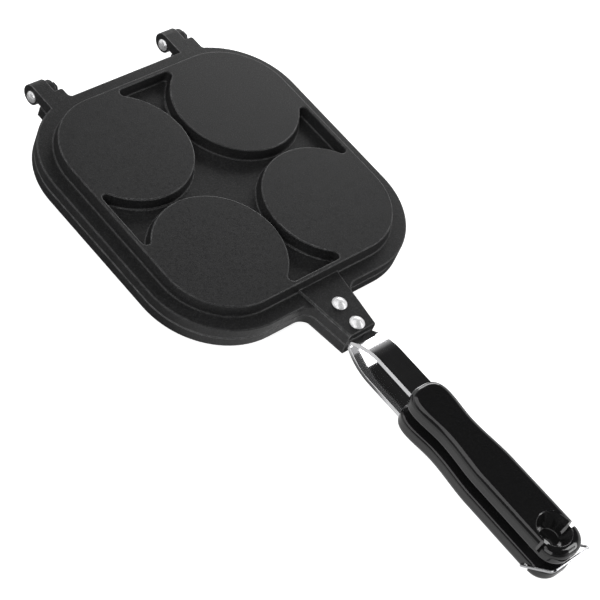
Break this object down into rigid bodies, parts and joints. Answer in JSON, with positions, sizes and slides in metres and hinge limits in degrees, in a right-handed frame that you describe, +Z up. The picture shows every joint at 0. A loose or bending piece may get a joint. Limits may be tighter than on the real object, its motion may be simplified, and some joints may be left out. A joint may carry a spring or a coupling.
{
  "type": "double-sided frying pan",
  "caption": "Two hinged cast pans with round cups, each on a steel strap with a black grip, closed by a swinging wire latch.",
  "frame": {"origin": "centre of the pan on the surface that it stands on", "axes": "+Z up, +Y towards the hinges, +X to the right seen from the grips"},
  "size_m": [0.1956, 0.4321, 0.03],
  "materials": {
    "coated_aluminium": "matte non-stick coating with a fine speckle",
    "strap_steel": "polished",
    "grip_plastic": "glossy",
    "bright_steel": "polished",
    "dark_steel": "blackened",
    "wire_steel": "drawn and bright"
  },
  "bodies": {
    "lower": {"lower_pan": "coated_aluminium", "lower_strap": "strap_steel", "lower_grip": "grip_plastic", "lower_inner_rivet": "bright_steel", "lower_outer_rivet": "bright_steel", "lower_grip_screw": "bright_steel", "lower_grip_washer": "bright_steel"},
    "upper": {"upper_pan": "coated_aluminium", "upper_strap": "strap_steel", "upper_grip": "grip_plastic", "upper_inner_rivet": "bright_steel", "upper_outer_rivet": "bright_steel", "upper_grip_screw": "bright_steel", "upper_grip_washer": "bright_steel", "left_hinge_bolt": "bright_steel", "left_hinge_washer": "bright_steel", "left_hinge_nut": "dark_steel", "right_hinge_bolt": "bright_steel", "right_hinge_washer": "bright_steel", "right_hinge_nut": "dark_steel"},
    "latch": {"latch_wire": "wire_steel"}
  },
  "joints": [
    {"name": "lid_hinge", "type": "hinge", "parent": "lower", "child": "upper", "pos_m": [0, 0.1132, 0.015], "axis": [-1, 0, 0], "range_deg": [0, 180]},
    {"name": "latch_swing", "type": "hinge", "parent": "lower", "child": "latch", "pos_m": [0, -0.293, 0.004], "axis": [1, 0, 0], "range_deg": [0, 205]}
  ]
}
